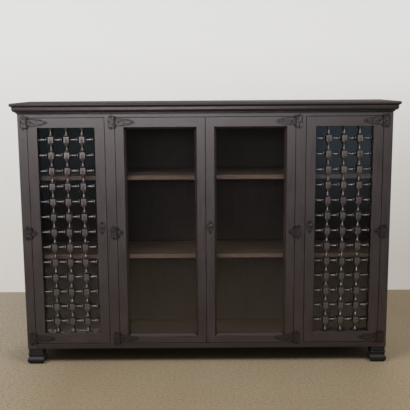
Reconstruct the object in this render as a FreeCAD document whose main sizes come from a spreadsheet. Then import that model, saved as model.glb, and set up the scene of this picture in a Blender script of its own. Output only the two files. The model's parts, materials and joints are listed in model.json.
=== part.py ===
import FreeCAD, Part
import os
import re
import Sketcher
from FreeCAD import Vector

# Display cabinet: two lattice doors outside, two glass doors in the middle.
# Millimetres. X runs to the right, Y to the back, Z up. The origin is the
# middle of the cabinet's outline on the floor.

document = FreeCAD.newDocument("display_cabinet")
sizes = document.addObject("Spreadsheet::Sheet", "sizes")
places = document.addObject("Spreadsheet::Sheet", "places")

SIZES = {
    # overall
    "carcass_width": 1650,
    "carcass_depth": 350,
    "cabinet_height": 1196,
    "cut_overrun": 5,
    # top board and cornice
    "top_thickness": 13,
    "top_nose": 5.5,
    "cornice_projection": 28,
    "cornice_height": 31,
    # feet
    "foot_height": 74,
    "foot_plinth_side": 64,
    "foot_plinth_height": 23,
    "foot_ring_side": 70,
    "foot_ring_height": 7,
    "foot_ring_round": 2.8,
    "foot_neck_side": 64,
    "foot_neck_height": 5,
    "foot_neck_lap": 5,
    "foot_cushion_side": 76,
    "foot_cushion_round": 18,
    "foot_inset": 3,
    "rear_foot_width": 58,
    "rear_foot_depth": 74,
    "rear_foot_inset": 66,
    # carcass boards
    "panel_thickness": 20,
    "bottom_board_thickness": 20,
    "carcass_top_thickness": 18,
    "back_thickness": 10,
    "back_plank_count": 11,
    # shelves
    "shelf_thickness": 19,
    "shelf_setback": 45,
    "shelf_end_gap": 0.8,
    "upper_shelf_top": 870,
    "lower_shelf_top": 508,
    "cleat_side": 14,
    "cleat_setback": 20,
    # face frame
    "outer_stile_width": 39,
    "mid_stile_width": 43,
    "bottom_rail_height": 24,
    "top_rail_reveal": 18,
    "lattice_opening_width": 343,
    "stop_width": 14,
    "stop_depth": 16,
    "stop_lap": 10,
    # doors in general
    "door_gap": 2.5,
    "door_stop_gap": 0.5,
    "meeting_gap": 3,
    "tenon_thickness": 9,
    "tenon_setback": 9,
    "tenon_length": 18,
    "tenon_shoulder": 5,
    "mortise_extra": 1,
    "rebate_width": 8,
    "pane_thickness": 3,
    "pane_clearance": 1,
    # lattice doors
    "lattice_stile_width": 42,
    "lattice_top_rail": 42,
    "lattice_bottom_rail": 49,
    "lattice_recess": 1.5,
    "lattice_pane_gap": 0.5,
    "lattice_bead_depth": 3,
    "block_side": 22,
    "block_height": 26,
    "row_count": 13,
    "first_row_drop": 54.5,
    "turned_radius": 10,
    "cross_radius": 9.3,
    "upright_tenon_radius": 4,
    "upright_tenon_length": 12,
    "cross_tenon_radius": 2.5,
    "cross_tenon_length": 5,
    "socket_clearance": 0.2,
    # glass doors
    "glass_stile_width": 37,
    "glass_top_rail": 41,
    "glass_bottom_rail": 31,
    "moulding_width": 10,
    "moulding_depth": 14,
    "moulding_lip": 2,
    # hinges
    "leaf_thickness": 2,
    "barrel_radius": 4,
    "barrel_length": 46,
    "barrel_standoff": 4.3,
    "knuckle_gap": 0.4,
    "knuckle_clearance": 0.5,
    "knuckle_web": 2,
    "pin_radius": 1.5,
    "pin_clearance": 0.08,
    "frame_leaf_width": 27,
    "frame_leaf_height": 66,
    "strap_length": 88,
    "strap_height": 30,
    "short_strap_length": 28,
    "short_strap_height": 27,
    "top_hinge_drop": 20,
    "bottom_hinge_rise": 21,
    "middle_hinge_height": 616,
    # nails
    "nail_head_radius": 3,
    "small_nail_head_radius": 2.2,
    "nail_head_height": 1.6,
    "nail_head_round": 1.3,
    "nail_shank_radius": 1.1,
    "nail_length": 14,
    "small_nail_length": 8,
    # locks
    "lock_height": 640,
    "escutcheon_width": 30,
    "escutcheon_height": 62,
    "escutcheon_thickness": 1.5,
    "keyhole_radius": 2.8,
    "keyhole_slot_width": 2.6,
    "keyhole_slot_length": 8,
    "keyhole_depth": 14,
    "lock_case_depth": 28,
    "lock_case_thickness": 13,
    "lock_case_height": 60,
    "lock_plate_thickness": 2,
    "lock_plate_width": 17,
    "lock_plate_height": 76,
    "lock_bolt_thickness": 6,
    "lock_bolt_height": 14,
    "lock_bolt_length": 22,
    "lock_bolt_rise": 12,
    "lock_bolt_clearance": 0.3,
    "strike_clearance": 1,
    "strike_depth": 10,
    # slide bolt
    "slide_plate_width": 24,
    "slide_plate_height": 92,
    "slide_plate_thickness": 2,
    "slide_radius": 3.5,
    "slide_length": 84,
    "slide_clearance": 0.3,
    "slide_guide_height": 12,
    "slide_guide_wall": 2.5,
    "slide_tip_gap": 1,
    "slide_knob_radius": 2.5,
    "slide_knob_length": 8,
}

PLACES = {
    "half_width": "carcass_width / 2",
    "front": "cornice_projection / 2 - carcass_depth / 2",
    "back": "front + carcass_depth",
    "lattice_depth": "lattice_recess + block_side + lattice_pane_gap",
    "door_thickness": "lattice_depth + pane_thickness + lattice_bead_depth",
    "frame_thickness": "door_thickness + door_stop_gap",
    "frame_back": "front + frame_thickness",
    "door_back": "front + door_thickness",
    "back_board_front": "back - back_thickness",
    "panel_inner": "half_width - panel_thickness",
    "cornice_top": "cabinet_height - top_thickness",
    "cornice_bottom": "cornice_top - cornice_height",
    "opening_top": "cornice_bottom - top_rail_reveal",
    "opening_bottom": "foot_height + bottom_rail_height",
    "foot_ring_low": "foot_height - foot_plinth_height - foot_ring_height",
    "carcass_top_under": "cornice_top - carcass_top_thickness",
    "bottom_board_under": "opening_bottom - bottom_board_thickness",
    "lattice_outer": "half_width - outer_stile_width",
    "lattice_inner": "lattice_outer - lattice_opening_width",
    "glass_outer": "lattice_inner - mid_stile_width",
    "partition_inner": "(lattice_inner + glass_outer) / 2 - panel_thickness / 2",
    "partition_outer": "partition_inner + panel_thickness",
    "door_bottom": "opening_bottom + door_gap",
    "door_top": "opening_top - door_gap",
    "shelf_front": "front + shelf_setback",
    "plank_width": "2 * panel_inner / back_plank_count",
    "tenon_front": "front + tenon_setback",
    "tenon_back": "tenon_front + tenon_thickness",
    # lattice doors: far is the hinge edge, near the lock edge, as distances from the middle
    "lattice_far": "lattice_outer - door_gap",
    "lattice_near": "lattice_inner + door_gap",
    "lattice_hole_far": "lattice_far - lattice_stile_width",
    "lattice_hole_near": "lattice_near + lattice_stile_width",
    "lattice_hole_top": "door_top - lattice_top_rail",
    "lattice_hole_bottom": "door_bottom + lattice_bottom_rail",
    "lattice_axis_depth": "front + lattice_recess + block_side / 2",
    "lattice_pane_front": "front + lattice_depth",
    "cross_length": "(lattice_hole_far - lattice_hole_near - 3 * block_side) / 4",
    "column_pitch": "cross_length + block_side",
    "row_pitch": "(lattice_hole_top - lattice_hole_bottom - 2 * first_row_drop) / (row_count - 1)",
    "last_row": "lattice_hole_bottom + first_row_drop",
    "turned_length": "row_pitch - block_height",
    # glass doors
    "glass_far": "glass_outer - door_gap",
    "glass_near": "meeting_gap / 2",
    "glass_pane_front": "front + moulding_depth + moulding_lip",
    # hinges
    "barrel_depth": "front - barrel_standoff",
    "leaf_front": "front - leaf_thickness",
    "lattice_axis": "lattice_outer - door_gap / 2",
    "glass_axis": "glass_outer - door_gap / 2",
    "top_hinge": "door_top - top_hinge_drop",
    "bottom_hinge": "door_bottom + bottom_hinge_rise",
    # locks
    "bolt_middle": "lock_height + lock_bolt_rise",
    "case_front": "front + (door_thickness - lock_case_thickness) / 2",
    "case_back": "case_front + lock_case_thickness",
    "case_middle": "(case_front + case_back) / 2",
    "slide_axis_depth": "door_back + slide_plate_thickness + slide_clearance + slide_radius",
    "slide_axis": "glass_near + glass_stile_width / 2",
    "slide_tip": "opening_top - stop_lap - slide_tip_gap",
}


def formula(text, own_sheet=False):
    """The text with every named size or place read from its sheet."""
    def cell(match):
        word = match.group(0)
        if word in SIZES:
            return "sizes." + word
        if word in PLACES:
            return word if own_sheet else "places." + word
        return word
    return re.sub(r"[a-z][a-z_]+", cell, text)


def fill(sheet, rows, written):
    """Write the names and their numbers or formulas into a sheet, one to a row."""
    for row, (name, value) in enumerate(rows.items(), 1):
        sheet.set(f"A{row}", name)
        sheet.set(f"B{row}", written(value))
        sheet.setAlias(f"B{row}", name)


fill(sizes, SIZES, str)
fill(places, PLACES, lambda text: "=" + formula(text, own_sheet=True))
document.recompute()


def value(text):
    """The number that a formula of named sizes comes to."""
    return float(places.evalExpression(formula(text)))


def bind(item, setting, text):
    item.setExpression(setting, formula(text))


# Helpers: drawing and cutting with the named sizes

# for each view: the body's plane, and whether that plane faces along its axis
VIEWS = {"plan": ("XY_Plane", True), "front": ("XZ_Plane", False), "side": ("YZ_Plane", True)}
SIDES = {"left": -1, "right": 1}
nodes = []


def origin_item(body, role):
    return [item for item in body.Origin.OriginFeatures if item.Role == role][0]


def rectangle(across, up):
    return [(across[0], up[0]), (across[1], up[0]), (across[1], up[1]), (across[0], up[1])]


def about(middle, half):
    """The two places at half a size either side of a middle."""
    return (f"{middle} - ({half})", f"{middle} + ({half})")


def span(side, near, far):
    """Two distances from the middle as a left to right pair, on the left or right half."""
    if side > 0:
        return (near, far)
    return (f"-({far})", f"-({near})")


def sided(side, distance):
    return distance if side > 0 else f"-({distance})"


class Drawing:
    """The geometry of one sketch, with every point held by named distances from its origin."""

    def __init__(self, sketch):
        self.sketch = sketch
        self.constraints = []
        self.driven = {}

    def hold(self, geometry, point, across, up):
        for kind, text in (("DistanceX", across), ("DistanceY", up)):
            self.driven[len(self.constraints)] = text
            self.constraints.append(Sketcher.Constraint(kind, -1, 1, geometry, point, value(text)))

    def disc(self, across, up, radius):
        middle = Vector(value(across), value(up), 0)
        disc = self.sketch.addGeometry(Part.Circle(middle, Vector(0, 0, 1), value(radius)), False)
        self.hold(disc, 3, across, up)
        self.driven[len(self.constraints)] = radius
        self.constraints.append(Sketcher.Constraint("Radius", disc, value(radius)))

    def edge(self, corner, begin, end):
        """One edge of an outline, with the numbers of its two end points."""
        if len(corner) == 2:
            return (self.sketch.addGeometry(Part.LineSegment(begin, end), False), 1, 2)
        through = Vector(value(corner[2]), value(corner[3]), 0)
        arc = self.sketch.addGeometry(Part.Arc(begin, through, end), False)
        mark = self.sketch.addGeometry(Part.Point(through), True)
        self.hold(mark, 1, corner[2], corner[3])
        self.constraints.append(Sketcher.Constraint("PointOnObject", mark, 1, arc))
        first = self.sketch.getPoint(arc, 1)
        if first.distanceToPoint(begin) < first.distanceToPoint(end):
            return (arc, 1, 2)
        return (arc, 2, 1)

    def outline(self, outline):
        corners = [Vector(value(corner[0]), value(corner[1]), 0) for corner in outline]
        ends = corners[1:] + corners[:1]
        edges = [self.edge(*edge) for edge in zip(outline, corners, ends)]
        for corner, edge, last in zip(outline, edges, edges[-1:] + edges[:-1]):
            self.constraints.append(Sketcher.Constraint("Coincident", last[0], last[2], edge[0], edge[1]))
            self.hold(edge[0], edge[1], corner[0], corner[1])

    def finish(self):
        self.sketch.addConstraint(self.constraints)
        for number, text in self.driven.items():
            bind(self.sketch, f"Constraints[{number}]", text)
        return self.sketch


def draw(body, view, outlines, start):
    """A sketch of closed outlines. A corner (x, y) starts a straight edge,
    (x, y, mx, my) an arc through (mx, my), and ("disc", x, y, r) is a circle."""
    role, along = VIEWS[view]
    sketch = body.newObject("Sketcher::SketchObject", view + "_sketch")
    sketch.AttachmentSupport = [(origin_item(body, role), "")]
    sketch.MapMode = "FlatFace"
    bind(sketch, "AttachmentOffset.Base.z", start if along else f"-({start})")
    drawing = Drawing(sketch)
    for outline in outlines:
        if outline[0] == "disc":
            drawing.disc(*outline[1:])
        else:
            drawing.outline(outline)
    return drawing.finish()


def pad(body, view, outlines, start, end):
    """Add material between two places along the view's axis."""
    feature = body.newObject("PartDesign::Pad", "pad")
    feature.Profile = draw(body, view, outlines, start)
    feature.Reversed = not VIEWS[view][1]
    bind(feature, "Length", f"({end}) - ({start})")
    body.Tip = feature
    return feature


def pocket(body, view, outlines, start, end):
    """Take material away between two places along the view's axis."""
    feature = body.newObject("PartDesign::Pocket", "pocket")
    feature.Profile = draw(body, view, outlines, start)
    feature.Reversed = VIEWS[view][1]
    bind(feature, "Length", f"({end}) - ({start})")
    body.Tip = feature
    return feature


def turning(body, kind, outlines, axis):
    """Material turned, or a groove cut, round an axis of the body's front view."""
    feature = body.newObject("PartDesign::" + kind, kind.lower())
    feature.Profile = draw(body, "front", outlines, "0")
    feature.ReferenceAxis = (feature.Profile[0], [axis])
    feature.Angle = 360
    body.Tip = feature
    return feature


def repeat(body, feature, spacing, count):
    """Repeat a feature upwards."""
    pattern = body.newObject("PartDesign::LinearPattern", "pattern")
    pattern.Originals = [feature]
    pattern.Direction = (origin_item(body, "Z_Axis"), [""])
    pattern.Mode = "Spacing"
    bind(pattern, "Offset", spacing)
    bind(pattern, "Occurrences", count)
    body.Tip = pattern
    return pattern


def round_off(body, radius, wanted):
    """Round the edges whose box passes the test."""
    document.recompute()
    base = body.Tip
    names = [f"Edge{number}" for number, edge in enumerate(base.Shape.Edges, 1) if wanted(edge.BoundBox)]
    feature = body.newObject("PartDesign::Fillet", "rounding")
    feature.Base = (base, names)
    bind(feature, "Radius", radius)
    body.Tip = feature
    return feature


def new_body(label, x="0", y="0", z="0"):
    body = document.addObject("PartDesign::Body", label)
    for axis, text in (("x", x), ("y", y), ("z", z)):
        bind(body, "Placement.Base." + axis, text)
    return body


def board(label, x, y, z):
    """A plain square-cornered board between named places."""
    item = document.addObject("Part::Box", label)
    for setting, axis, (low, high) in (("Length", "x", x), ("Width", "y", y), ("Height", "z", z)):
        bind(item, setting, f"({high}) - ({low})")
        bind(item, "Placement.Base." + axis, low)
    return item


def rod(label, x, y, z, radius):
    """An upright round rod between two heights."""
    item = document.addObject("Part::Cylinder", label)
    bind(item, "Radius", radius)
    bind(item, "Height", f"({z[1]}) - ({z[0]})")
    for axis, text in (("x", x), ("y", y), ("z", z[0])):
        bind(item, "Placement.Base." + axis, text)
    return item


def node(label, items, minus=()):
    """One sub-part: an item, or like items together, less what is let into it."""
    item = items[0]
    if len(items) > 1:
        item = document.addObject("Part::Compound", "set")
        item.Links = items
    for tool in minus:
        cut = document.addObject("Part::Cut", "less")
        cut.Base = item
        cut.Tool = tool
        item = cut
    item.Label = label
    nodes.append(item)
    return item


# Nails: a rounded head on the iron, with the shank driven into the wood
def nail_set(points, start, radius="nail_head_radius", length="nail_length"):
    """Like nails at (x, z) places, their heads standing on a plane that faces forward."""
    body = new_body("nail_set")
    head = f"{start} - nail_head_height"
    pad(body, "front", [("disc", x, z, radius) for x, z in points], head, start)
    forward = value(head)
    round_off(body, "nail_head_round", lambda box: abs(box.YMax - forward) < value("nail_head_height") / 2)
    pad(body, "front", [("disc", x, z, "nail_shank_radius") for x, z in points], head, f"{start} + {length}")
    return body


# Carcass boards
full_inside = ("-panel_inner", "panel_inner")
inside_depth = ("frame_back", "back_board_front")
for name, side in SIDES.items():
    node(name + "_side_panel", [board("side", span(side, "panel_inner", "half_width"), ("frame_back", "back"),
                                      ("foot_height", "cornice_top"))])
    node(name + "_partition", [board("partition", span(side, "partition_inner", "partition_outer"),
                                     inside_depth, ("opening_bottom", "carcass_top_under"))])
node("bottom_board", [board("bottom", full_inside, inside_depth, ("bottom_board_under", "opening_bottom"))])
node("carcass_top_board", [board("lid", full_inside, inside_depth, ("carcass_top_under", "cornice_top"))])
planks = []
for number in range(int(value("back_plank_count"))):
    left = f"-panel_inner + {number} * plank_width"
    planks.append(board("plank", (left, f"{left} + plank_width"), ("back_board_front", "back"),
                        ("bottom_board_under", "cornice_top")))
node("back_boards", planks)

# Top board: one wide board with a rounded nose on the front and both ends
top_board = new_body("top_board")
top_reach = ("-(half_width + cornice_projection)", "half_width + cornice_projection")
pad(top_board, "plan", [rectangle(top_reach, ("front - cornice_projection", "back"))],
    "cornice_top", "cabinet_height")
round_off(top_board, "top_nose", lambda box: box.ZLength < value("top_nose") and (
    box.YMax < value("front") or box.XMin > value("half_width") or box.XMax < -value("half_width")))
node("top_board", [top_board])

# Cornice: from the bottom a bead, a quarter hollow, a flat and a cove, as shares of its
# projection and height
CORNICE_SHARES = [(0, 0), (0.16, 0), (0.16, 0.06, 0.235, 0.13), (0.16, 0.20), (0.22, 0.22, 0.52, 0.30),
                  (0.64, 0.50), (0.68, 0.50), (0.68, 0.77, 0.70, 0.92), (0.82, 1), (0, 1)]


def cornice_outline(out):
    """The section, with its outward distances written by the function given."""
    outline = []
    for shares in CORNICE_SHARES:
        corner = []
        for outward, up in zip(shares[::2], shares[1::2]):
            corner += [out(f"{outward} * cornice_projection"), f"cornice_bottom + {up} * cornice_height"]
        outline.append(tuple(corner))
    return outline


def mitre(side, outer):
    """The corner triangle in plan that a mitre takes from the front length or from a return."""
    corner = (sided(side, "half_width"), "front")
    tip = (sided(side, "half_width + cornice_projection + cut_overrun"),
           "front - cornice_projection - cut_overrun")
    if outer:
        return [corner, (tip[0], "front"), tip]
    return [corner, tip, (sided(side, "half_width"), tip[1])]


cornice_front = new_body("cornice_front")
pad(cornice_front, "side", [cornice_outline(lambda out: f"front - {out}")], *top_reach)
pocket(cornice_front, "plan", [mitre(side, True) for side in SIDES.values()], "cornice_bottom", "cornice_top")
cornice_parts = [cornice_front]
for name, side in SIDES.items():
    cornice_return = new_body("cornice_return")
    pad(cornice_return, "front", [cornice_outline(lambda out: sided(side, f"half_width + {out}"))],
        "front - cornice_projection", "back")
    pocket(cornice_return, "plan", [mitre(side, False)], "cornice_bottom", "cornice_top")
    cornice_parts.append(cornice_return)
node("cornice", cornice_parts)

# Feet: moulded in front, each a cushion, a neck, a bead and a plinth one above another, with
# plain blocks set further in at the back
foot_neck_low = "foot_ring_low - foot_neck_height"
FOOT_LAYERS = [
    ("foot_cushion_side", "foot_cushion_round", "0", foot_neck_low),
    ("foot_neck_side", None, f"{foot_neck_low} - foot_neck_lap", "foot_ring_low"),
    ("foot_ring_side", "foot_ring_round", "foot_ring_low", "foot_ring_low + foot_ring_height"),
    ("foot_plinth_side", None, "foot_ring_low + foot_ring_height", "foot_height"),
]


def front_foot(side):
    body = new_body("foot", sided(side, "half_width - foot_inset - foot_plinth_side / 2"),
                    "front + foot_inset + foot_plinth_side / 2")
    for width, rounding, low, high in FOOT_LAYERS:
        edge = (f"-{width} / 2", f"{width} / 2")
        pad(body, "plan", [rectangle(edge, edge)], low, high)
        if rounding:
            heights = (value(low), value(high))
            longest = value(width)
            round_off(body, rounding, lambda box: (
                round(box.ZMin, 3) in heights and round(box.ZMax, 3) in heights
                and box.ZLength < value(rounding) and round(max(box.XLength, box.YLength), 3) == longest))
    return body


feet = [front_foot(side) for side in SIDES.values()]
rear_outer = "half_width - rear_foot_inset"
for side in SIDES.values():
    feet.append(board("rear_foot", span(side, f"{rear_outer} - rear_foot_width", rear_outer),
                      ("back - rear_foot_depth", "back"), ("0", "bottom_board_under")))
node("feet", feet)

# Shelves on cleats, at the same heights in every compartment
BAYS = {
    "left": span(-1, "partition_outer", "panel_inner"),
    "centre": ("-partition_inner", "partition_inner"),
    "right": span(1, "partition_outer", "panel_inner"),
}
shelves = {"outer": [], "centre": []}
cleats = []
for name, (left, right) in BAYS.items():
    for top in ("upper_shelf_top", "lower_shelf_top"):
        under = f"{top} - shelf_thickness"
        shelf = board("shelf", (f"{left} + shelf_end_gap", f"{right} - shelf_end_gap"),
                      ("shelf_front", "back_board_front"), (under, top))
        shelves["centre" if name == "centre" else "outer"].append(shelf)
        for x in ((left, f"{left} + cleat_side"), (f"{right} - cleat_side", right)):
            cleats.append(board("cleat", x, ("shelf_front + cleat_setback", "back_board_front"),
                                (f"{under} - cleat_side", under)))
for name, boards in shelves.items():
    node(name + "_shelves", boards)
node("shelf_cleats", cleats)

# Face frame: stiles and rails tenoned together
tenon_depth = ("tenon_front", "tenon_back")
rail_heights = {"bottom": ("foot_height", "opening_bottom"), "top": ("opening_top", "cornice_top")}
mid_stile_tenon = ("glass_outer + tenon_shoulder", "lattice_inner - tenon_shoulder")


def tenon(body, x, z, y=tenon_depth, work=pad):
    """A square tenon, or with pocket as the work a mortise."""
    work(body, "side", [rectangle(y, z)], x[0], x[1])


outer_stiles = []
mid_stiles = []
for side in SIDES.values():
    stile = new_body("outer_stile")
    pad(stile, "front", [rectangle(span(side, "lattice_outer", "half_width"),
                                   ("foot_height", "cornice_top"))], "front", "frame_back")
    for low, high in rail_heights.values():
        tenon(stile, span(side, "lattice_outer", "lattice_outer + tenon_length + mortise_extra"),
              (f"{low} + tenon_shoulder", f"{high} - tenon_shoulder"), work=pocket)
    outer_stiles.append(stile)
    stile = new_body("mid_stile")
    pad(stile, "front", [rectangle(span(side, "glass_outer", "lattice_inner"),
                                   ("opening_bottom", "opening_top"))], "front", "frame_back")
    for middle in ("opening_top", "opening_bottom"):
        tenon(stile, span(side, *mid_stile_tenon), about(middle, "tenon_length"))
    tenon(stile, span(side, "lattice_inner - strike_depth", "lattice_inner"),
          about("bolt_middle", "lock_bolt_height / 2 + strike_clearance"),
          about("case_middle", "lock_bolt_thickness / 2 + strike_clearance"), work=pocket)
    mid_stiles.append(stile)
frame_rails = {}
for name, (low, high) in rail_heights.items():
    rail = new_body(name + "_rail")
    pad(rail, "front", [rectangle(("-lattice_outer", "lattice_outer"), (low, high))], "front", "frame_back")
    tenon(rail, ("-(lattice_outer + tenon_length)", "lattice_outer + tenon_length"),
          (f"{low} + tenon_shoulder", f"{high} - tenon_shoulder"))
    edge = {"top": ("opening_top", "opening_top + tenon_length + mortise_extra"),
            "bottom": ("opening_bottom - tenon_length - mortise_extra", "opening_bottom")}[name]
    for side in SIDES.values():
        tenon(rail, span(side, *mid_stile_tenon), edge, work=pocket)
    frame_rails[name] = rail

# Door stops: strips behind the rails at the top and bottom of each opening
behind_frame = ("frame_back", "frame_back + stop_depth")
stops = []
for bay in BAYS.values():
    for rise in (("opening_top - stop_lap", "opening_top - stop_lap + stop_width"),
                 ("opening_bottom", "opening_bottom + stop_lap")):
        stops.append(board("stop", bay, behind_frame, rise))
slide_hole = rod("slide_hole", "-slide_axis", "slide_axis_depth",
                 ("slide_tip", "opening_top + stop_width"), "slide_radius + slide_clearance")
node("door_stops", stops, [slide_hole])

# Hinges: forged leaves nailed to the face, with a three-part barrel in front of the gap
HINGES = {"top_hinge": "long", "middle_hinge_height": "short", "bottom_hinge": "long"}
STRAP_SHARES = {
    "long": [(0, 1), (0.33, 0.94), (0.45, 0.84), (0.48, 0.62), (0.52, 0.86), (0.57, 0.84), (0.60, 0.60),
             (0.64, 0.82), (0.69, 0.76), (0.72, 0.48), (0.79, 0.36), (0.86, 0.46), (1, 0)],
    "short": [(0, 1), (0.22, 0.80), (0.48, 0.84), (0.62, 0.50), (0.80, 0.42), (1, 0)],
}
FRAME_LEAF_SHARES = [(0, 0.68), (0.16, 0.76), (0.34, 0.74), (0.52, 1), (0.70, 0.74), (0.90, 0.76), (1, 0.58)]
FRAME_NAIL_SHARES = [(0.52, 0.66), (0.52, -0.66)]
STRAP_NAIL_SHARES = {"long": [(0.16, 0), (0.84, 0)], "short": [(0.50, 0)]}
FRAME_LEAF_SIZE = ("frame_leaf_width", "frame_leaf_height")
STRAP_SIZES = {
    "long": ("strap_length", "strap_height"),
    "short": ("short_strap_length", "short_strap_height"),
}
middle_half = "barrel_length / 4"
barrel_half = "barrel_length / 2"


def leaf_point(side, axis, towards, height, length, tall, shares):
    """A point of a leaf: its distance from the barrel as a share of the length, and up from the middle."""
    out, up = shares
    distance = f"barrel_radius + knuckle_clearance + {out} * ({length} - barrel_radius - knuckle_clearance)"
    return (sided(side, f"{axis} {towards} ({distance})"), f"{height} + {up} * {tall} / 2")


def leaf(side, axis, towards, height, outline, length, tall, knuckles):
    """A forged leaf with its knuckles. Towards is + for the frame's leaf and - for the door's."""
    body = new_body("leaf")
    both = outline + [(out, -up) for out, up in reversed(outline) if up]
    corners = [leaf_point(side, axis, towards, height, length, tall, shares) for shares in both]
    pad(body, "front", [corners], "leaf_front", "front")
    reach = (axis, f"{axis} {towards} (barrel_radius + knuckle_clearance + knuckle_web)")
    x = span(side, *(reach if towards == "+" else reach[::-1]))
    middle = (sided(side, axis), "barrel_depth")
    for low, high in knuckles:
        rise = (f"{height} + {low}", f"{height} + {high}")
        pad(body, "front", [rectangle(x, rise)], "leaf_front", "front")
        pad(body, "plan", [("disc", *middle, "barrel_radius")], *rise)
        pocket(body, "plan", [("disc", *middle, "pin_radius + pin_clearance")], *rise)
    return body


def frame_leaf(side, axis, height):
    knuckles = [(f"{middle_half} + knuckle_gap / 2", barrel_half),
                (f"-{barrel_half}", f"-{middle_half} - knuckle_gap / 2")]
    return leaf(side, axis, "+", height, FRAME_LEAF_SHARES, *FRAME_LEAF_SIZE, knuckles)


def strap(side, axis, height, kind):
    knuckles = [(f"-{middle_half} + knuckle_gap / 2", f"{middle_half} - knuckle_gap / 2")]
    return leaf(side, axis, "-", height, STRAP_SHARES[kind], *STRAP_SIZES[kind], knuckles)


frame_leaves = []
pins = []
frame_nail_points = []
for side in SIDES.values():
    for axis in ("lattice_axis", "glass_axis"):
        for height in HINGES:
            frame_leaves.append(frame_leaf(side, axis, height))
            pins.append(rod("pin", sided(side, axis), "barrel_depth", about(height, barrel_half),
                            "pin_radius"))
            frame_nail_points += [leaf_point(side, axis, "+", height, *FRAME_LEAF_SIZE, shares)
                                  for shares in FRAME_NAIL_SHARES]
frame_nails = nail_set(frame_nail_points, "leaf_front")
node("hinge_frame_leaves", frame_leaves, [frame_nails])
node("hinge_pins", pins)
node("frame_leaf_nails", [frame_nails])
node("outer_stiles", outer_stiles, [frame_nails])
node("mid_stiles", mid_stiles, [frame_nails])
node("top_front_rail", [frame_rails["top"]], [frame_nails])
node("bottom_front_rail", [frame_rails["bottom"]], [frame_nails])

# Lock sets: an escutcheon on the face, a case let into the stile's edge, and its bolt
ESCUTCHEON_SHARES = [(0, 1), (0.10, 0.80), (0.30, 0.66), (0.62, 0.64), (0.66, 0.50), (0.94, 0.30), (1, 0.06),
                     (0.94, -0.14), (0.72, -0.22), (0.76, -0.36), (0.54, -0.44), (0.50, -0.60), (0.24, -0.70),
                     (0.16, -0.86), (0, -1)]
ESCUTCHEON_NAIL_SHARES = (0.68, -0.72)


def keyhole(body, x, start, end):
    """A round hole with a slot below it."""
    pocket(body, "front", [("disc", x, "lock_height", "keyhole_radius")], start, end)
    slot = rectangle(about(x, "keyhole_slot_width / 2"), ("lock_height - keyhole_slot_length", "lock_height"))
    pocket(body, "front", [slot], start, end)


def escutcheon(x):
    """A cut plate, the same on both sides of its middle, with the keyhole through it."""
    body = new_body("escutcheon")
    around = ESCUTCHEON_SHARES + [(-out, up) for out, up in ESCUTCHEON_SHARES[-2:0:-1]]
    outline = [(f"{x} + {out} * escutcheon_width / 2", f"lock_height + {up} * escutcheon_height / 2")
               for out, up in around]
    pad(body, "front", [outline], "front - escutcheon_thickness", "front")
    keyhole(body, x, "front - escutcheon_thickness", "front")
    return body


def lock_set(prefix, side, near, width):
    """The escutcheon, its two nails, the case and the bolt of one door."""
    x = sided(side, f"{near} + {width} / 2")
    nail_heights = [f"lock_height + {share} * escutcheon_height / 2" for share in ESCUTCHEON_NAIL_SHARES]
    nails = nail_set([(x, z) for z in nail_heights], "front - escutcheon_thickness",
                     "small_nail_head_radius", "small_nail_length")
    plate = (span(side, near, f"{near} + lock_plate_thickness"), about("case_middle", "lock_plate_width / 2"),
             about("lock_height", "lock_plate_height / 2"))
    box = (span(side, f"{near} + lock_plate_thickness", f"{near} + lock_case_depth"),
           ("case_front", "case_back"), about("lock_height", "lock_case_height / 2"))
    case = new_body("lock_case")
    seats = []
    for x_range, y_range, z_range in (plate, box):
        tenon(case, x_range, z_range, y_range)
        seats.append(board("seat", x_range, y_range, z_range))
    tenon(case, span(side, near, f"{near} + lock_bolt_length + lock_bolt_clearance"),
          about("bolt_middle", "lock_bolt_height / 2 + lock_bolt_clearance"),
          about("case_middle", "lock_bolt_thickness / 2 + lock_bolt_clearance"), work=pocket)
    keyhole(case, x, "front", "front + keyhole_depth")
    node(prefix + "_escutcheon", [escutcheon(x)], [nails])
    node(prefix + "_lock_case", [case])
    node(prefix + "_lock_bolt", [board("bolt", span(side, near, f"{near} + lock_bolt_length"),
                                       about("case_middle", "lock_bolt_thickness / 2"),
                                       about("bolt_middle", "lock_bolt_height / 2"))])
    return x, nails, seats


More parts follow.
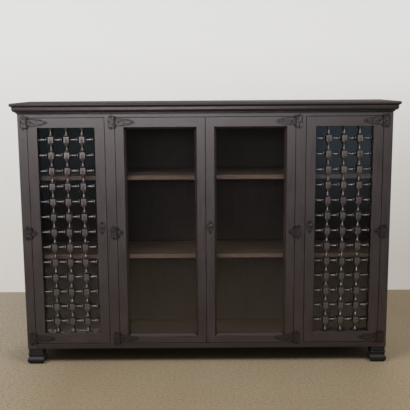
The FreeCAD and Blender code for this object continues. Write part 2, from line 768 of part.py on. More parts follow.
# Door frames: stiles the full height, rails tenoned between them, a rebate at the back for the pane
def door_frame(side, near, far, width, low, high, mould, pane_front):
    """Two stiles and two rails. Low and high are the rails' face heights, mould the chamfer's width or 0."""
    hole_low = f"door_bottom + {low}"
    hole_high = f"door_top - {high}"
    chamfered = mould != "0"
    depth = ("front", "door_back")
    chamfer_end = "front + moulding_depth + cut_overrun * moulding_depth / moulding_width"
    rail_tenons = (("door_bottom + tenon_shoulder", f"{hole_low} - tenon_shoulder - rebate_width"),
                   (f"{hole_high} + tenon_shoulder + rebate_width", "door_top - tenon_shoulder"))
    stiles = []
    for edge, inward, outward in ((near, "+", "-"), (far, "-", "+")):
        flat = f"{edge} {inward} {width}"
        lip = f"{flat} {inward} {mould}"
        beyond = f"{lip} {inward} cut_overrun"
        corners = [(edge, "door_bottom"), (flat, "door_bottom")]
        if chamfered:
            corners += [(flat, hole_low), (lip, f"{hole_low} + {mould}")]
            corners += [(lip, f"{hole_high} - {mould}"), (flat, hole_high)]
        corners += [(flat, "door_top"), (edge, "door_top")]
        stile = new_body("stile")
        pad(stile, "front", [[(sided(side, x), z) for x, z in corners]], *depth)
        if chamfered:
            wedge = [(flat, "front"), (beyond, "front"), (beyond, chamfer_end)]
            pocket(stile, "plan", [[(sided(side, x), y) for x, y in wedge]], "door_bottom", "door_top")
        rebate = (f"{lip} {outward} rebate_width", beyond)
        slot = (flat, f"{flat} {outward} (tenon_length + mortise_extra)")
        if inward == "-":
            rebate = rebate[::-1]
        else:
            slot = slot[::-1]
        pocket(stile, "plan", [rectangle(span(side, *rebate), (pane_front, "door_back"))],
               f"{hole_low} + {mould} - rebate_width", f"{hole_high} - {mould} + rebate_width")
        for rise in rail_tenons:
            tenon(stile, span(side, *slot), rise, work=pocket)
        stiles.append(stile)
    left = f"{near} + {width}"
    right = f"{far} - {width}"
    rails = []
    for outer, face, inward, outward, rise in (("door_bottom", hole_low, "+", "-", rail_tenons[0]),
                                               ("door_top", hole_high, "-", "+", rail_tenons[1])):
        lip = f"{face} {inward} {mould}"
        beyond = f"{lip} {inward} cut_overrun"
        corners = [(left, outer), (right, outer), (right, face)]
        if chamfered:
            corners += [(f"{right} - {mould}", lip), (f"{left} + {mould}", lip)]
        corners += [(left, face)]
        rail = new_body("rail")
        pad(rail, "front", [[(sided(side, x), z) for x, z in corners]], *depth)
        if chamfered:
            pocket(rail, "side", [[("front", face), ("front", beyond), (chamfer_end, beyond)]],
                   *span(side, left, right))
        pocket(rail, "side", [rectangle((pane_front, "door_back"), (f"{lip} {outward} rebate_width", beyond))],
               *span(side, left, right))
        tenon(rail, span(side, f"{left} - tenon_length", f"{right} + tenon_length"), rise)
        rails.append(rail)
    return stiles, rails


def glazing(prefix, side, near, far, low, high, pane_front):
    """The pane in its rebate and four beads behind it. The limits are the rebate's own."""
    pane_back = f"{pane_front} + pane_thickness"
    hold_in = "pane_clearance"
    node(prefix + "_pane", [board("pane", span(side, f"{near} + {hold_in}", f"{far} - {hold_in}"),
                                  (pane_front, pane_back), (f"{low} + {hold_in}", f"{high} - {hold_in}"))])
    behind = (pane_back, "door_back")
    beads = [board("bead", span(side, *x), behind, (low, high))
             for x in ((near, f"{near} + rebate_width"), (f"{far} - rebate_width", far))]
    beads += [board("bead", span(side, f"{near} + rebate_width", f"{far} - rebate_width"), behind, z)
              for z in ((low, f"{low} + rebate_width"), (f"{high} - rebate_width", high))]
    node(prefix + "_glazing_beads", beads)


def straps(prefix, side, axis):
    """The door's three hinge leaves, with the places of their nails."""
    leaves = [strap(side, axis, height, kind) for height, kind in HINGES.items()]
    points = []
    for height, kind in HINGES.items():
        points += [leaf_point(side, axis, "-", height, *STRAP_SIZES[kind], shares)
                   for shares in STRAP_NAIL_SHARES[kind]]
    nails = nail_set(points, "leaf_front")
    node(prefix + "_hinge_straps", leaves, [nails])
    return nails


# Lattice doors. Shares of the turned length from the top down, and of the turned radius
UPRIGHT_SHARES = [(0, 1.56), (0.02, 1.12), (0.10, 1.04), (0.18, 0.90), (0.25, 0.72), (0.31, 0.52),
                  (0.36, 0.40), (0.39, 0.48), (0.41, 0.48), (0.43, 0.34), (0.48, 0.34), (0.58, 0.44),
                  (0.68, 0.56), (0.74, 0.66), (0.765, 0.66), (0.775, 0.50), (0.79, 0.88), (0.815, 1),
                  (0.86, 1), (0.885, 0.88), (0.90, 0.50), (0.965, 0.50), (0.975, 1.26), (1, 1.56)]
CROSS_SHARES = [(0, 0.44), (0.03, 0.44), (0.05, 0.62), (0.085, 0.68), (0.12, 0.62), (0.14, 0.44),
                (0.18, 0.33), (0.25, 0.32), (0.40, 0.38), (0.54, 0.48), (0.66, 0.60), (0.685, 0.48),
                (0.71, 0.48), (0.73, 0.84), (0.76, 1), (0.80, 1), (0.83, 0.84), (0.85, 0.46), (1, 0.46)]


def upright(x):
    """A square bar, grooved on the lathe between its blocks, with a peg at each end."""
    body = new_body("upright", x, "lattice_axis_depth")
    edge = ("-block_side / 2", "block_side / 2")
    pad(body, "plan", [rectangle(edge, edge)], "lattice_hole_bottom", "lattice_hole_top")
    top = "last_row - block_height / 2"
    outline = [(f"{out} * turned_radius", f"{top} - {share} * turned_length")
               for share, out in UPRIGHT_SHARES]
    outline += [("block_side", f"{top} - turned_length"), ("block_side", top)]
    groove = turning(body, "Groove", [outline], "V_Axis")
    repeat(body, groove, "row_pitch", "row_count + 1")
    peg = [("disc", "0", "0", "upright_tenon_radius")]
    pad(body, "plan", peg, "lattice_hole_top - socket_clearance", "lattice_hole_top + upright_tenon_length")
    pad(body, "plan", peg, "lattice_hole_bottom - upright_tenon_length",
        "lattice_hole_bottom + socket_clearance")
    hole = pocket(body, "side", [("disc", "0", "last_row", "cross_tenon_radius + socket_clearance")], *edge)
    repeat(body, hole, "row_pitch", "row_count")
    return body


def cross_spindles(left):
    """Short turned spindles with a peg at each end, four to a row."""
    body = new_body("spindles", left, "lattice_axis_depth", "last_row")
    peg = "cross_tenon_radius"
    outlines = []
    for number in range(4):
        start = f"{number} * column_pitch"
        end = f"{start} + cross_length"
        outline = [(f"{start} - cross_tenon_length", "0"), (f"{start} - cross_tenon_length", peg),
                   (start, peg)]
        outline += [(f"{start} + {share} * cross_length", f"{out} * cross_radius")
                    for share, out in CROSS_SHARES]
        outline += [(end, peg), (f"{end} + cross_tenon_length", peg), (f"{end} + cross_tenon_length", "0")]
        outlines.append(outline)
    spindles = turning(body, "Revolution", outlines, "H_Axis")
    repeat(body, spindles, "row_pitch", "row_count")
    return body


for name, side in SIDES.items():
    prefix = name + "_lattice"
    stiles, rails = door_frame(side, "lattice_near", "lattice_far", "lattice_stile_width",
                               "lattice_bottom_rail", "lattice_top_rail", "0", "lattice_pane_front")
    left = span(side, "lattice_hole_near", "lattice_hole_far")[0]
    reach = "(cross_tenon_length + mortise_extra)"
    for stile, x in zip(stiles, ((f"lattice_hole_near - {reach}", "lattice_hole_near"),
                                 ("lattice_hole_far", f"lattice_hole_far + {reach}"))):
        socket = [("disc", "lattice_axis_depth", "last_row", "cross_tenon_radius + socket_clearance")]
        hole = pocket(stile, "side", socket, *span(side, *x))
        repeat(stile, hole, "row_pitch", "row_count")
    columns = [f"{left} + cross_length + block_side / 2 + {number} * column_pitch" for number in range(3)]
    sockets = [("disc", x, "lattice_axis_depth", "upright_tenon_radius + socket_clearance") for x in columns]
    reach = "(upright_tenon_length + mortise_extra)"
    for rail, z in zip(rails, ((f"lattice_hole_bottom - {reach}", "lattice_hole_bottom"),
                               ("lattice_hole_top", f"lattice_hole_top + {reach}"))):
        pocket(rail, "plan", sockets, *z)
    lock_x, lock_nails, seats = lock_set(prefix, side, "lattice_near", "lattice_stile_width")
    keyhole(stiles[0], lock_x, "front", "front + keyhole_depth")
    strap_nails = straps(prefix, side, "lattice_axis")
    node(prefix + "_stiles", stiles, seats + [strap_nails, lock_nails])
    node(prefix + "_rails", rails, [strap_nails])
    node(prefix + "_uprights", [upright(x) for x in columns])
    node(prefix + "_cross_spindles", [cross_spindles(left)])
    node(prefix + "_nails", [strap_nails, lock_nails])
    glazing(prefix, side, "lattice_hole_near - rebate_width", "lattice_hole_far + rebate_width",
            "lattice_hole_bottom - rebate_width", "lattice_hole_top + rebate_width", "lattice_pane_front")

# Glass doors, with a chamfer run round the inside of the face
for name, side in SIDES.items():
    prefix = name + "_glass"
    stiles, rails = door_frame(side, "glass_near", "glass_far", "glass_stile_width", "glass_bottom_rail",
                               "glass_top_rail", "moulding_width", "glass_pane_front")
    strap_nails = straps(prefix, side, "glass_axis")
    nails = [strap_nails]
    taken = [strap_nails]
    if name == "right":
        lock_x, lock_nails, seats = lock_set(prefix, side, "glass_near", "glass_stile_width")
        keyhole(stiles[0], lock_x, "front", "front + keyhole_depth")
        nails.append(lock_nails)
        taken += seats + [lock_nails]
    else:
        tenon(stiles[0], span(side, "glass_near", "glass_near + strike_depth"),
              about("bolt_middle", "lock_bolt_height / 2 + strike_clearance"),
              about("case_middle", "lock_bolt_thickness / 2 + strike_clearance"), work=pocket)
    node(prefix + "_stiles", stiles, taken)
    node(prefix + "_rails", rails, [strap_nails])
    node(prefix + "_nails", nails)
    inset = "glass_stile_width + moulding_width - rebate_width"
    glazing(prefix, side, f"glass_near + {inset}", f"glass_far - ({inset})",
            "door_bottom + glass_bottom_rail + moulding_width - rebate_width",
            "door_top - glass_top_rail - moulding_width + rebate_width", "glass_pane_front")

# Slide bolt behind the left glass door: a plate with two guides, and a round bolt with a knob
plate_top = "slide_tip - slide_guide_height / 2"
plate = new_body("slide_plate")
pad(plate, "front", [rectangle(about("-slide_axis", "slide_plate_width / 2"),
                               (f"{plate_top} - slide_plate_height", plate_top))],
    "door_back", "door_back + slide_plate_thickness")
guide_half = "slide_radius + slide_clearance + slide_guide_wall"
bore = [("disc", "-slide_axis", "slide_axis_depth", "slide_radius + slide_clearance")]
for top in (plate_top, f"{plate_top} - slide_plate_height + slide_guide_height"):
    rise = (f"{top} - slide_guide_height", top)
    pad(plate, "plan", [rectangle(about("-slide_axis", guide_half),
                                  ("door_back", f"slide_axis_depth + {guide_half}"))], *rise)
    pocket(plate, "plan", bore, *rise)
node("slide_bolt_plate", [plate])
bolt = new_body("slide_bolt", "-slide_axis", "slide_axis_depth")
pad(bolt, "plan", [("disc", "0", "0", "slide_radius")], "slide_tip - slide_length", "slide_tip")
knob_height = "slide_tip - slide_length / 2"
pad(bolt, "front", [("disc", "0", knob_height, "slide_knob_radius")], "0", "slide_radius + slide_knob_length")
node("slide_bolt", [bolt])

# Check every object, and write one file for each sub-part
document.recompute()
for item in document.Objects:
    if "Invalid" in item.State or "Error" in item.State:
        raise RuntimeError(f"{item.Name} {item.Label} failed: {item.getStatusString()}")
    if item.TypeId in ("PartDesign::Pocket", "PartDesign::Groove"):
        if item.Shape.Volume >= item.BaseFeature.Shape.Volume:
            raise RuntimeError(f"{item.Name} cuts nothing")
os.makedirs("parts", exist_ok=True)
labels = [item.Label for item in nodes]
if len(set(labels)) < len(labels):
    raise RuntimeError("two sub-parts share a name")
for item in nodes:
    shape = item.Shape
    if shape.isNull() or not shape.isValid() or not shape.Solids:
        raise RuntimeError(f"{item.Label} has no valid shape")
    shape.exportStep(f"parts/{item.Label}.step")
print(len(nodes), "sub-parts,", sum(len(item.Shape.Solids) for item in nodes), "solids")
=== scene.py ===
import bmesh
import bpy
import json
import math
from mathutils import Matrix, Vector


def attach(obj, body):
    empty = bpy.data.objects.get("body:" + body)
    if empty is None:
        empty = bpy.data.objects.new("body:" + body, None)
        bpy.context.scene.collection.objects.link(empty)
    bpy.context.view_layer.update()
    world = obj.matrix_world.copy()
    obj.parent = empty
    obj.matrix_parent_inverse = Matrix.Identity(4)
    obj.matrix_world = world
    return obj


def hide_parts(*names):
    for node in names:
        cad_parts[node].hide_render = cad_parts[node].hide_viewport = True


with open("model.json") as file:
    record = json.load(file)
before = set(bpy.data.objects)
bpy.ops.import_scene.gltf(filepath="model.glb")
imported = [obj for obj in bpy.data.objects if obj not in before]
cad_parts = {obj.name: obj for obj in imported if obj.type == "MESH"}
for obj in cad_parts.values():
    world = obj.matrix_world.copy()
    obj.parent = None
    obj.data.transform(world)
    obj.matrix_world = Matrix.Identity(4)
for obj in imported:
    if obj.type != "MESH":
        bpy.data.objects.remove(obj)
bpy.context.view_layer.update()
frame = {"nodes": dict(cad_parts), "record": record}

# Studio floor: a dull, pale, warm stone floor with fine dark chips in it, and painted light that makes
# it paler on the left. To all but the camera it darkens well in front of the cabinet, so that the
# panes don't mirror it. The first finish is here, so the classes that every finish is written with are
# here too.


class Value:
    """An output of a node. Python's own signs on it add Math nodes."""

    def __init__(self, finish, socket):
        self.finish = finish
        self.socket = socket

    def maths(self, operation, *values):
        return self.finish.node("ShaderNodeMath", {"operation": operation}, dict(enumerate(values)))

    def __add__(self, other):
        return self.maths("ADD", self, other)

    def __sub__(self, other):
        return self.maths("SUBTRACT", self, other)

    def __rsub__(self, other):
        return self.maths("SUBTRACT", other, self)

    def __mul__(self, other):
        return self.maths("MULTIPLY", self, other)

    __radd__ = __add__
    __rmul__ = __mul__

    def larger(self, other):
        return self.maths("MAXIMUM", self, other)

    def between(self, low, high, to_low=0, to_high=1):
        """The value spread from low and high to two others, and kept between them."""
        return self.finish.node("ShaderNodeMapRange", {"clamp": True},
                                {0: self, 1: low, 2: high, 3: to_low, 4: to_high})


class Finish:
    """A material made of nodes round one Principled shader."""

    def __init__(self, name, tree=None):
        if tree is None:
            self.material = bpy.data.materials.new(name)
            self.material.use_nodes = True
            tree = self.material.node_tree
        self.tree = tree
        self.tree.nodes.clear()

    def node(self, kind, settings=None, inputs=None, output=0):
        made = self.tree.nodes.new(kind)
        for name, setting in (settings or {}).items():
            setattr(made, name, setting)
        for name, value in (inputs or {}).items():
            if isinstance(value, Value):
                self.tree.links.new(value.socket, made.inputs[name])
            else:
                made.inputs[name].default_value = value
        return Value(self, made.outputs[output]) if made.outputs else None

    def mix(self, factor, one, other):
        """One colour turning into another."""
        colours = [(*c, 1) if isinstance(c, tuple) else c for c in (one, other)]
        return self.node("ShaderNodeMix", {"data_type": "RGBA"},
                         {0: factor, 6: colours[0], 7: colours[1]}, 2)

    def place(self, stretch=(1, 1, 1)):
        """Object coordinates, stretched for a grain."""
        spot = self.node("ShaderNodeTexCoord", output="Object")
        return self.node("ShaderNodeMapping", inputs={0: spot, 3: stretch})

    def along(self, axis, at):
        """How far a place lies along one axis."""
        return self.node("ShaderNodeSeparateXYZ", inputs={0: at}, output=axis)

    def ray(self, kind):
        """1 for one kind of ray, 0 for the rest."""
        return self.node("ShaderNodeLightPath", output=f"Is {kind} Ray")

    def noise(self, at, scale, detail, roughness=0.5, distortion=0):
        return self.node("ShaderNodeTexNoise", inputs={
            "Vector": at, "Scale": scale, "Detail": detail,
            "Roughness": roughness, "Distortion": distortion})

    def pattern(self, at, noise, levels):
        """A noise, 0 at the first of two levels and 1 at the second."""
        return self.noise(at, *noise).between(*levels)

    def bump(self, height, distance, under=None):
        inputs = {"Height": height, "Distance": distance}
        if under:
            inputs["Normal"] = under
        return self.node("ShaderNodeBump", inputs=inputs)

    def shader(self, **sockets):
        """The Principled shader, its sockets named with a low line for each space."""
        inputs = {name.replace("_", " "): value for name, value in sockets.items()}
        return self.node("ShaderNodeBsdfPrincipled", inputs=inputs)

    def finish(self, shader):
        self.node("ShaderNodeOutputMaterial", inputs={0: shader})
        return self.material


def put(name, form, finish):
    """A mesh from a bmesh as an object of the scene, with its finish."""
    mesh = bpy.data.meshes.new(name)
    form.to_mesh(mesh)
    form.free()
    mesh.materials.append(finish)
    piece = bpy.data.objects.new(name, mesh)
    bpy.context.scene.collection.objects.link(piece)
    return piece


FLOOR_HALF_WIDTH = 5
FLOOR_FRONT = -3.3
FLOOR_BACK = 4.5
STONE_BROWN = (0.37, 0.29, 0.185)
STONE_PALE = (0.41, 0.33, 0.225)
STONE_LIT_LEFT = (0.58, 0.51, 0.42)
STONE_UNSEEN = (0.03, 0.028, 0.026)
STONE_ROUGHNESS = 0.6
CHIP_COLOUR = (0.18, 0.14, 0.10)
CHIP_SHARE = 0.55
CHIP_ROUGHNESS = 0.1
LIT_TOWARD_LEFT = (-0.6, -1.3)
DARKER_FRONT = (-0.7, -2.9)

# Each pattern: a noise's scale, detail, roughness and distortion, then the two levels it is
# spread between.
CHIPS = (95, 4, 0.7), (0.50, 0.62)
PATCHES = (1.3, 2), (0.3, 0.7)

stone = Finish("floor stone")
spot = stone.place()
chips = stone.pattern(spot, *CHIPS)
tint = stone.mix(stone.pattern(spot, *PATCHES), STONE_BROWN, STONE_PALE)
# Painted light: the stone is paler towards the left, where more light falls.
tint = stone.mix(stone.along("X", spot).between(*LIT_TOWARD_LEFT), tint, STONE_LIT_LEFT)
unseen = stone.along("Y", spot).between(*DARKER_FRONT) * (1 - stone.ray("Camera"))
tint = stone.mix(unseen, tint, STONE_UNSEEN)
tint = stone.mix(chips * CHIP_SHARE, tint, CHIP_COLOUR)
stone_finish = stone.finish(stone.shader(
    Base_Color=tint, Roughness=chips * CHIP_ROUGHNESS + STONE_ROUGHNESS, Specular_IOR_Level=0))
slab = bmesh.new()
corners = ((-FLOOR_HALF_WIDTH, FLOOR_FRONT), (FLOOR_HALF_WIDTH, FLOOR_FRONT),
           (FLOOR_HALF_WIDTH, FLOOR_BACK), (-FLOOR_HALF_WIDTH, FLOOR_BACK))
slab.faces.new([slab.verts.new((x, y, 0)) for x, y in corners])
floor = put("floor", slab, stone_finish)

# Studio wall: a plain pale wall behind the cabinet, with painted shade that makes it a little darker
# low down and to the right, most of all in the low right corner. It shows from the front, to the
# camera and in gloss and glass. The light of the room and a view from behind pass through it.
WALL_DEPTH = 1.055
WALL_HALF_WIDTH = 9
WALL_HEIGHT = 6
SHADED_PAINT_LOW = (0.60, 0.575, 0.54)
PAINT_HIGH = (0.76, 0.755, 0.75)
SHADED_PAINT_RIGHT = (0.40, 0.38, 0.36)
SHADED_PAINT_CORNER = (0.42, 0.385, 0.35)
PALER_UP = (0, 1.5)
DARKER_RIGHT = (-1.2, 1.4)
RIGHT_SHARE = 0.08
CORNER_RIGHT = (-0.2, 1.5)
CORNER_DOWN = (1.3, 0.2)
CORNER_SHARE = 0.75

plaster = Finish("wall plaster")
spot = plaster.place()
height = plaster.along("Z", spot)
across = plaster.along("X", spot)
# Painted shade: the wall darkens low down, to the right and most of all in the low right corner.
paint_and_shade = plaster.mix(height.between(*PALER_UP), SHADED_PAINT_LOW, PAINT_HIGH)
paint_and_shade = plaster.mix(across.between(*DARKER_RIGHT, 0, RIGHT_SHARE), paint_and_shade, SHADED_PAINT_RIGHT)
shade_mask = across.between(*CORNER_RIGHT) * height.between(*CORNER_DOWN)
paint_and_shade = plaster.mix(shade_mask * CORNER_SHARE, paint_and_shade, SHADED_PAINT_CORNER)
shown = plaster.ray("Camera").larger(plaster.ray("Glossy")).larger(plaster.ray("Transmission"))
front = 1 - plaster.node("ShaderNodeNewGeometry", output="Backfacing")
plaster_finish = plaster.finish(plaster.node("ShaderNodeMixShader", inputs={
    0: shown * front, 1: plaster.node("ShaderNodeBsdfTransparent"),
    2: plaster.node("ShaderNodeEmission", inputs={"Color": paint_and_shade})}))
sheet = bmesh.new()
corners = ((-WALL_HALF_WIDTH, 0), (WALL_HALF_WIDTH, 0),
           (WALL_HALF_WIDTH, WALL_HEIGHT), (-WALL_HALF_WIDTH, WALL_HEIGHT))
sheet.faces.new([sheet.verts.new((x, WALL_DEPTH, z)) for x, z in corners])
wall = put("wall", sheet, plaster_finish)

# Studio light: a wide window in front and a little left, which gives only the waxed fronts'
# sheen, two high soft lights in front and one behind. The room is dim, with two bluish openings
# that the outer panes show, and pale towards the wall.
ROOM_LOW = (0.04, 0.038, 0.036)
ROOM_HIGH = (0.35, 0.355, 0.36)
ROOM_OPENING = (0.26, 0.36, 0.44)
ROOM_WALL = (0.74, 0.735, 0.725)
ROOM_RISE = (0.05, 0.8)
OPENING_RIGHT = (0.11, 0.16)
OPENING_LEFT = (-0.11, -0.16)
OPENING_LEFT_SHARE = 0.35
OPENING_FOOT = (-0.17, -0.09)
OPENING_HEAD = (0.1, 0)
TOWARDS_WALL = (0.1, 0.2)
LAMP_WARM = (1.0, 0.97, 0.93)

bpy.context.scene.view_settings.view_transform = "Standard"
world = bpy.data.worlds.new("room")
world.use_nodes = True
bpy.context.scene.world = world
room = Finish("room", world.node_tree)
toward = room.node("ShaderNodeTexCoord", output="Generated")
up = room.along("Z", toward)
across = room.along("X", toward)
room_colour = room.mix(up.between(*ROOM_RISE), ROOM_LOW, ROOM_HIGH)
openings = across.between(*OPENING_RIGHT) + across.between(*OPENING_LEFT) * OPENING_LEFT_SHARE
openings = openings * up.between(*OPENING_FOOT) * up.between(*OPENING_HEAD)
room_colour = room.mix(openings, room_colour, ROOM_OPENING)
behind = room.along("Y", toward).between(*TOWARDS_WALL)
pale = (behind * room.ray("Glossy").larger(room.ray("Transmission"))).larger(room.ray("Camera"))
room_colour = room.mix(pale, room_colour, ROOM_WALL)
background = room.node("ShaderNodeBackground", inputs={"Color": room_colour, "Strength": 1})
room.node("ShaderNodeOutputWorld", inputs={0: background})


def lamp(name, place, target, size, watts, colour=LAMP_WARM, scatters=True):
    """A flat soft light, facing a target. One that doesn't scatter gives only sheen."""
    light = bpy.data.lights.new(name, "AREA")
    light.shape = "RECTANGLE"
    light.size, light.size_y = size
    light.energy = watts
    light.color = colour
    holder = bpy.data.objects.new(name, light)
    holder.location = place
    holder.rotation_euler = (Vector(target) - Vector(place)).to_track_quat("-Z", "Y").to_euler()
    holder.visible_camera = False
    holder.visible_transmission = False
    holder.visible_diffuse = scatters
    bpy.context.scene.collection.objects.link(holder)


lamp("window light", place=(-1.1, -6.2, 2.2), target=(0, 0, 1.0), size=(4.4, 1.1), watts=345,
     colour=(1.0, 0.93, 0.98), scatters=False)
lamp("light left", place=(-1.7, -1.9, 3.2), target=(0, -0.2, 0.3), size=(1.6, 1.2), watts=65)
lamp("light right", place=(1.7, -1.9, 3.2), target=(0, -0.2, 0.3), size=(1.6, 1.2), watts=42)
lamp("light behind", place=(1.2, 3.6, 3.4), target=(0, 0, 0.6), size=(3, 2), watts=60,
     colour=(1.0, 0.98, 0.96))

# Camera: at a standing viewer's chest height in front of the middle, looking slightly down, as
# in the photograph, and turned by a fraction of a degree, as that is.
LENS = 65.3
SENSOR_WIDTH = 36
CAMERA_PLACE = (0, -3.442, 1.275)
PITCH_DOWN = math.radians(9.24)
ROLL = math.radians(0.39)

view = bpy.data.cameras.new("camera")
view.lens = LENS
view.sensor_width = SENSOR_WIDTH
camera = bpy.data.objects.new("camera", view)
camera.location = CAMERA_PLACE
camera.rotation_euler = (math.pi / 2 - PITCH_DOWN, ROLL, 0)
bpy.context.scene.collection.objects.link(camera)
bpy.context.scene.camera = camera

# Carcass: dark stained hardwood boards, waxed outside and bare inside, the grain along each one,
# fixed edge to edge as a box with two partitions. Arrises are eased with a plane, so each wooden
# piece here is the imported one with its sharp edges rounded.
RECORD = frame["record"]
BODY_OF = {node: body for body, nodes in RECORD["behaviour"]["bodies"].items() for node in nodes}

# Patterns in the wood. Places are squeezed along the grain, which draws the pattern out that way.
GRAIN = {"x": (0.045, 1, 1), "z": (1, 1, 0.045)}
LONG_SPOTS = {"x": (0.3, 1, 1), "z": (1, 1, 0.3)}
BANDS = (26, 3, 0.6, 0.4), (0.3, 0.7)
STREAKS = (150, 3, 0.65), (0.35, 0.7)
PORES = (620, 2, 0.6), (0.56, 0.66)
WORN = (3.2, 3, 0.55), (0.35, 0.68)
RUBBED = (11, 4, 0.7), (0.55, 0.80)
MOTTLED = (34, 4, 0.65), (0.3, 0.7)

# How much of each pattern shows in the colour, and how much rougher it makes the surface.
BAND_SHARE = 0.5
STREAK_SHARE = 0.5
WORN_SHARE = 0.25
WORN_TINT = 1.7
PORE_SHARE = 0.6
PORE_TINT = 0.4
PORE_DEPTH = 0.00008
STREAK_ROUGHNESS = 0.10
RUBBED_ROUGHNESS = 0.05
MOTTLED_ROUGHNESS = 0.12
SMOOTHEST_DROP = 0.04
WAX_ROUGHNESS = 0.33

# Painted shade darkens the wood where a place is hemmed in: in corners, between parts and round the
# ironwork. The levels are how open it is where the painted shade is full and where there is none.
HOLLOW_SHADE_TINT = 0.3
HOLLOW_SHADE_ROUGHNESS = 0.8
HOLLOW_SHADE_SHINE = 0.1
HOLLOW_SHADE_REACH = 0.008
HOLLOW_SHADE_SAMPLES = 6
HOLLOW_SHADE_LEVELS = (0.76, 0.985)


def wood(name, grain, dark, light, roughness=0.33, wax=0.3, shine=0.5, hollow_shade=0.95):
    """Open-grained wood: bands, streaks and pores along the grain, worn places, uneven wax, and
    painted shade in the corners and round the ironwork."""
    timber = Finish(name)
    lengthways = timber.place(GRAIN[grain])
    bands = timber.pattern(lengthways, *BANDS)
    streaks = timber.pattern(lengthways, *STREAKS)
    pores = timber.pattern(lengthways, *PORES)
    worn = timber.pattern(timber.place(), *WORN)
    rubbed = timber.pattern(timber.place(), *RUBBED)
    mottled = timber.pattern(timber.place(LONG_SPOTS[grain]), *MOTTLED)
    colour = timber.mix(bands * BAND_SHARE + streaks * STREAK_SHARE, dark, light)
    colour = timber.mix(worn * WORN_SHARE, colour, tuple(c * WORN_TINT for c in light))
    colour = timber.mix(pores * PORE_SHARE, colour, tuple(c * PORE_TINT for c in dark))
    uneven = streaks * STREAK_ROUGHNESS + rubbed * RUBBED_ROUGHNESS + mottled * MOTTLED_ROUGHNESS
    clean = timber.shader(Base_Color=colour, Roughness=uneven + roughness - SMOOTHEST_DROP,
                          Specular_IOR_Level=shine, Coat_Weight=wax, Coat_Roughness=WAX_ROUGHNESS,
                          Normal=timber.bump(1 - pores, PORE_DEPTH))
    hollow_shaded = timber.shader(Base_Color=(*(c * HOLLOW_SHADE_TINT for c in dark), 1), Roughness=HOLLOW_SHADE_ROUGHNESS,
                          Specular_IOR_Level=HOLLOW_SHADE_SHINE)
    # Painted shade: how hemmed in a place is mixes in a darker, duller copy of the wood.
    openness = timber.node("ShaderNodeAmbientOcclusion", {"samples": HOLLOW_SHADE_SAMPLES},
                           {"Distance": HOLLOW_SHADE_REACH}, "AO")
    shade_mask = openness.between(*HOLLOW_SHADE_LEVELS, hollow_shade, 0)
    return timber.finish(timber.node("ShaderNodeMixShader", inputs={0: shade_mask, 1: clean, 2: hollow_shaded}))


# Sizes in metres, and the cosine from which a face counts as looking a given way.
BOARD_EDGE = 0.0008
EDGE_SEGMENTS = 2
SAME_POINT = 0.00002
FLAT = math.radians(0.5)
FACING = 0.95


def eased(node, finish, width=BOARD_EDGE, smooth_from=35, other=None, way=None):
    """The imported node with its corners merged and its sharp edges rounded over. The faces that
    look one way can have another finish."""
    form = bmesh.new()
    form.from_mesh(frame["nodes"][node].data)
    bmesh.ops.remove_doubles(form, verts=form.verts, dist=SAME_POINT)
    bmesh.ops.dissolve_limit(form, angle_limit=FLAT, verts=form.verts, edges=form.edges)
    piece = put(node + "_finished", form, finish)
    piece.data.shade_smooth()
    if other:
        piece.data.materials.append(other)
        for face in piece.data.polygons:
            face.material_index = int(face.normal.dot(way) > FACING)
    if width:
        bevel = piece.modifiers.new("eased edges", "BEVEL")
        bevel.width = width
        bevel.segments = EDGE_SEGMENTS
        bevel.limit_method = "ANGLE"
        bevel.angle_limit = math.radians(smooth_from)
        piece.modifiers.new("flat faces", "WEIGHTED_NORMAL")
    else:
        piece.data.set_sharp_from_angle(angle=math.radians(smooth_from))
    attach(piece, BODY_OF[node])
    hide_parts(node)


DARK = (0.018, 0.0088, 0.0068)
LIGHT = (0.034, 0.0185, 0.0150)
INSIDE_DARK = (0.022, 0.0130, 0.0085)
INSIDE_LIGHT = (0.044, 0.0275, 0.0190)

upright_wood = wood("waxed wood, upright grain", "z", DARK, LIGHT)
level_wood = wood("waxed wood, level grain", "x", DARK, LIGHT)
inside_upright = wood("inside wood, upright grain", "z", INSIDE_DARK, INSIDE_LIGHT,
                      roughness=0.7, wax=0, shine=0.15)
inside_level = wood("inside wood, level grain", "x", INSIDE_DARK, INSIDE_LIGHT,
                    roughness=0.65, wax=0, shine=0.2)
for node in ("left_side_panel", "right_side_panel"):
    eased(node, upright_wood)
for node in ("left_partition", "right_partition", "back_boards"):
    eased(node, inside_upright)
for node in ("bottom_board", "carcass_top_board", "shelf_cleats", "door_stops"):
    eased(node, inside_level)

# Shelves: thick boards of the same wood, unwaxed, two to each bay. They lie on cleats along the sides
# and partitions. Their front edges are of browner bare wood, and painted light makes them much paler
# than the tops.
SHELF_DARK = (0.026, 0.015, 0.010)
SHELF_LIGHT = (0.046, 0.028, 0.019)
BARE_LIT_DARK = (0.060, 0.033, 0.020)
BARE_LIT_LIGHT = (0.112, 0.062, 0.040)

shelf_wood = wood("shelf wood", "x", SHELF_DARK, SHELF_LIGHT, roughness=0.6, wax=0, shine=0.3)
# Painted light: this edge finish is much paler than the shelf finish, and it goes on the faces that
# look to the front.
bare_lit_wood = wood("bare shelf edge with painted light", "x", BARE_LIT_DARK, BARE_LIT_LIGHT, roughness=0.55, wax=0, shine=0.3)
for node in ("outer_shelves", "centre_shelves"):
    eased(node, shelf_wood, other=bare_lit_wood, way=Vector((0, -1, 0)))

# Top board and cornice: a board with a rounded nose over a moulding that is run along the front
# and returned along both ends, mitred at the corners. Both are waxed, but the top face is dull
# with dust and has lost its wax.
MOULDING_EDGE = 0.0005

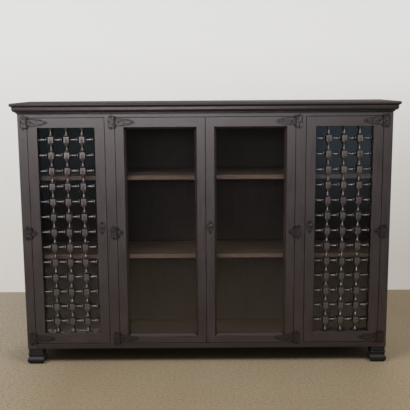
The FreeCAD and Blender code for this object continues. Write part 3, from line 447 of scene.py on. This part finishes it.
dull_wood = wood("dull wood", "x", DARK, LIGHT, roughness=0.62, wax=0, shine=0.2, hollow_shade=0.5)
worn_wood = wood("worn wood", "x", DARK, LIGHT, roughness=0.48, wax=0, shine=0.4, hollow_shade=0.5)
moulding_wood = wood("waxed moulding", "x", DARK, LIGHT, roughness=0.40, hollow_shade=0.5)
eased("top_board", worn_wood, MOULDING_EDGE, other=dull_wood, way=Vector((0, 0, 1)))
eased("cornice", moulding_wood, MOULDING_EDGE)

# Face frame: four stiles and two rails of the same waxed wood, tenoned together flush in front of the
# carcass. The low rail is duller, and painted shade makes it darker than the rest.
# Painted shade: the low rail's colours are darker than the other rails' for the shade low down.
LOW_SHADED_DARK = (0.0145, 0.0068, 0.0052)
LOW_SHADED_LIGHT = (0.028, 0.0145, 0.0115)

for node in ("outer_stiles", "mid_stiles"):
    eased(node, upright_wood)
low_shaded_wood = wood("dull low rail with painted shade", "x", LOW_SHADED_DARK, LOW_SHADED_LIGHT, roughness=0.42, shine=0.3)
eased("top_front_rail", level_wood)
eased("bottom_front_rail", low_shaded_wood)

# Feet: two moulded square blocks under the front corners and two plain ones further in behind, of
# solid wood, painted black and bluish with age, and fixed up to the bottom board.
BLACK_PAINT = (0.004, 0.004, 0.0045)
AGED_PAINT = (0.008, 0.0085, 0.009)

feet_paint = wood("black painted wood", "z", BLACK_PAINT, AGED_PAINT, roughness=0.42, wax=0, shine=0.3)
eased("feet", feet_paint, width=0)

# Doors: stiles and rails of the waxed wood, the rails tenoned between the stiles. Four thin
# beads of bare wood hold each pane in its rebate at the back.
BEAD_EDGE = 0.0004

for side in ("left", "right"):
    for kind in ("lattice", "glass"):
        eased(f"{side}_{kind}_stiles", upright_wood)
        eased(f"{side}_{kind}_rails", level_wood)
        eased(f"{side}_{kind}_glazing_beads", inside_level, BEAD_EDGE)

# Lattice: square bars turned between the blocks that are left on them, and short turned spindles
# across, pegged into the blocks and the stiles. Their wax shines more than that of the frames.
TURNED_DARK = (0.018, 0.0085, 0.0060)
TURNED_LIGHT = (0.044, 0.0225, 0.0170)
SPINDLE_LIGHT = (0.034, 0.0170, 0.0120)

turned_upright = wood("turned wood, upright grain", "z", TURNED_DARK, TURNED_LIGHT,
                      roughness=0.32, wax=1, shine=1)
turned_level = wood("turned wood, level grain", "x", TURNED_DARK, SPINDLE_LIGHT,
                    roughness=0.26, wax=1, shine=1)
for side in ("left", "right"):
    eased(f"{side}_lattice_uprights", turned_upright, width=0, smooth_from=30)
    eased(f"{side}_lattice_cross_spindles", turned_level, width=0, smooth_from=40)

# Panes: four sheets of thin clear window glass, a little wavy, held by the doors' beads. Light
# for the shelves passes straight through them.
GLASS_TINT = (0.93, 0.96, 0.95, 1)
GLASS_ROUGHNESS = 0.02
GLASS_IOR = 1.5
WAVES = (4, 1)
WAVE_DEPTH = 0.0005

glass = Finish("window glass")
waves = glass.bump(glass.noise(glass.place(), *WAVES), WAVE_DEPTH)
clear = glass.shader(Base_Color=GLASS_TINT, Roughness=GLASS_ROUGHNESS, IOR=GLASS_IOR,
                     Transmission_Weight=1, Normal=waves)
straight = glass.ray("Shadow").larger(glass.ray("Diffuse"))
glass_finish = glass.finish(glass.node("ShaderNodeMixShader", inputs={
    0: straight, 1: clear, 2: glass.node("ShaderNodeBsdfTransparent")}))
for side in ("left", "right"):
    for kind in ("lattice", "glass"):
        pane = frame["nodes"][f"{side}_{kind}_pane"]
        pane.material_slots[0].material = glass_finish

# Ironwork: hinge leaves and straps, pins, escutcheons, lock cases and bolts, beaten from iron and
# blackened, with rounded edges. Forged nails with sooty heads hold them to the wood.
SHEET_EDGE = 0.0005
IRON_DARK = (0.014, 0.0100, 0.0090)
IRON_LIGHT = (0.044, 0.033, 0.030)
DENTS = (90, 2, 0.5)
DENT_DEPTH = 0.0016
SCALE = (420, 3, 0.6), (0.4, 0.75)
SCALE_DEPTH = 0.00012
SCALE_ROUGHNESS = 0.14
IRON_ROUGHNESS = 0.32
IRON_METAL = 0.3
SOOT_DARK = (0.003, 0.003, 0.003)
SOOT_LIGHT = (0.010, 0.009, 0.009)
SOOT_PATCHES = (500, 2), (0.4, 0.7)
SOOT_ROUGHNESS = 0.7
SOOT_SHINE = 0.05

iron = Finish("blackened iron")
dents = iron.noise(iron.place(), *DENTS)
scale = iron.pattern(iron.place(), *SCALE)
iron_colour = iron.mix(scale, IRON_DARK, IRON_LIGHT)
beaten = iron.bump(dents, DENT_DEPTH, under=iron.bump(scale, SCALE_DEPTH))
iron_finish = iron.finish(iron.shader(Base_Color=iron_colour, Metallic=IRON_METAL, Normal=beaten,
                                      Roughness=scale * SCALE_ROUGHNESS + IRON_ROUGHNESS))
soot = Finish("sooty nail iron")
soot_colour = soot.mix(soot.pattern(soot.place(), *SOOT_PATCHES), SOOT_DARK, SOOT_LIGHT)
nail_finish = soot.finish(soot.shader(Base_Color=soot_colour, Roughness=SOOT_ROUGHNESS,
                                      Specular_IOR_Level=SOOT_SHINE))
for node in BODY_OF:
    if "nails" in node:
        eased(node, nail_finish, width=0)
    elif any(word in node for word in ("hinge_", "escutcheon", "lock_", "slide_bolt")):
        eased(node, iron_finish, 0 if "pins" in node else SHEET_EDGE)
